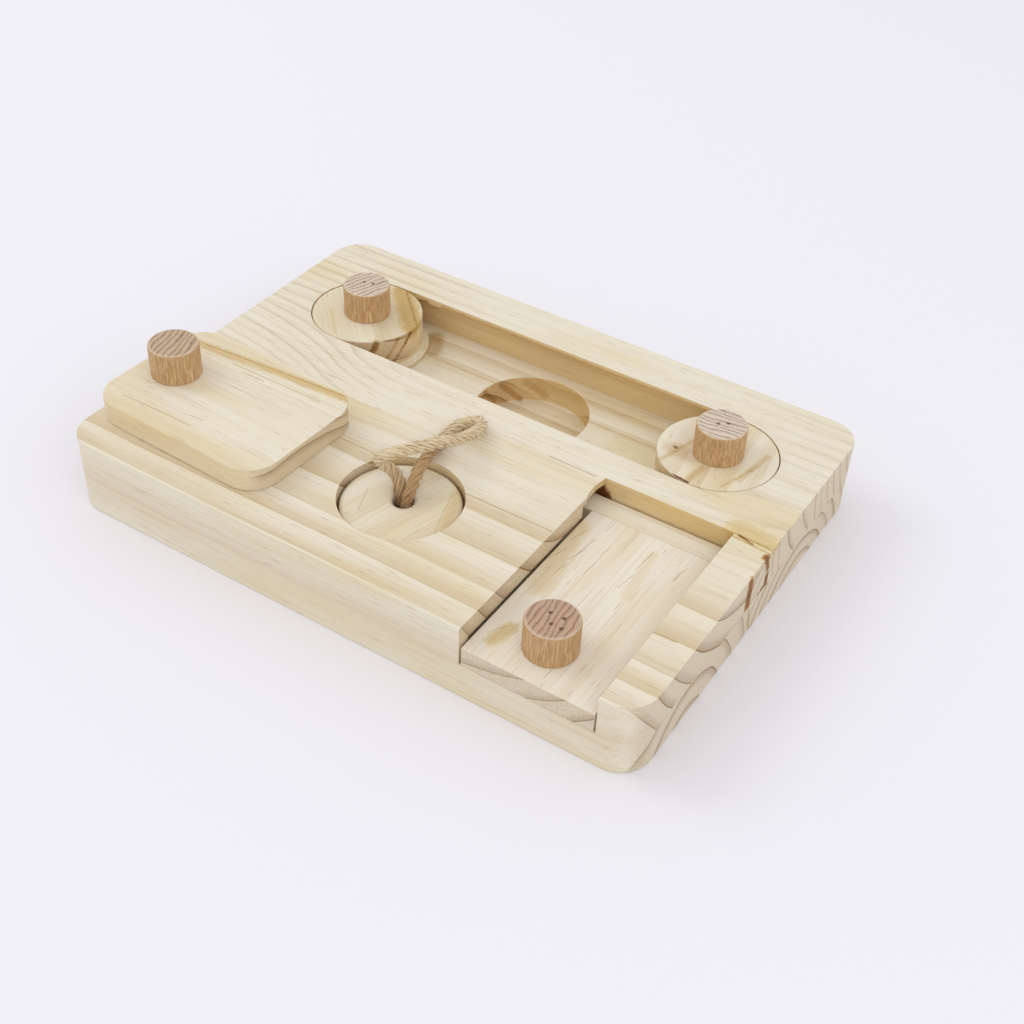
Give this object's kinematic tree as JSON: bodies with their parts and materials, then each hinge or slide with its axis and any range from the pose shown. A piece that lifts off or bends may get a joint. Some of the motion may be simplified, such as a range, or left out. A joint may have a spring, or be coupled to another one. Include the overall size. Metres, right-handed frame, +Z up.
{
  "type": "small pet foraging puzzle",
  "caption": "Flat pine foraging board for small pets: treat cups under sliding knob pucks, a swivel cover, a lift-out plug with a rope loop and a captive sliding lid.",
  "frame": {"origin": "middle of the board's flat underside", "axes": "+X to the right along the board's length, +Y to the back, +Z up out of the cups"},
  "size_m": [0.18, 0.13, 0.0399],
  "materials": {
    "board_pine": "sanded, bare",
    "cover_pine": "sanded, bare",
    "plug_pine": "sanded, bare",
    "puck_pine": "sanded, bare",
    "lid_pine": "sanded, bare",
    "knob_beech": "turned, bare",
    "screw_steel": "zinc plated",
    "jute_rope": "twisted natural fibre"
  },
  "bodies": {
    "board": {"lower_plank": "board_pine", "upper_plank": "board_pine", "end_filler": "board_pine"},
    "swivel": {"swivel_cover": "cover_pine", "swivel_knob": "knob_beech", "swivel_knob_screw": "screw_steel", "pivot_screw": "screw_steel", "pivot_washer": "screw_steel"},
    "plug": {"plug_disc": "plug_pine", "pull_rope": "jute_rope", "rope_knot": "jute_rope"},
    "left_puck": {"left_puck_body": "puck_pine", "left_puck_knob": "knob_beech", "left_puck_knob_screw": "screw_steel"},
    "right_puck": {"right_puck_body": "puck_pine", "right_puck_knob": "knob_beech", "right_puck_knob_screw": "screw_steel"},
    "lid": {"lid_panel": "lid_pine", "lid_rear_bar": "lid_pine", "lid_knob": "knob_beech", "lid_knob_screw": "screw_steel"}
  },
  "joints": [
    {"name": "cover_swivel", "type": "hinge", "parent": "board", "child": "swivel", "pos_m": [-0.0365, -0.0343, 0.0231], "axis": [0, 0, 1], "range_deg": [-90, 110]},
    {"name": "left_puck_slide", "type": "slide", "parent": "board", "child": "left_puck", "axis": [1, 0, 0], "range_m": [0, 0.041]},
    {"name": "right_puck_slide", "type": "slide", "parent": "board", "child": "right_puck", "axis": [-1, 0, 0], "range_m": [0, 0.041]},
    {"name": "plug_lift", "type": "slide", "parent": "board", "child": "plug", "axis": [0, 0, 1], "range_m": [0, 0.03]},
    {"name": "lid_slide", "type": "slide", "parent": "board", "child": "lid", "axis": [0, -1, 0], "range_m": [0, 0.054]}
  ]
}
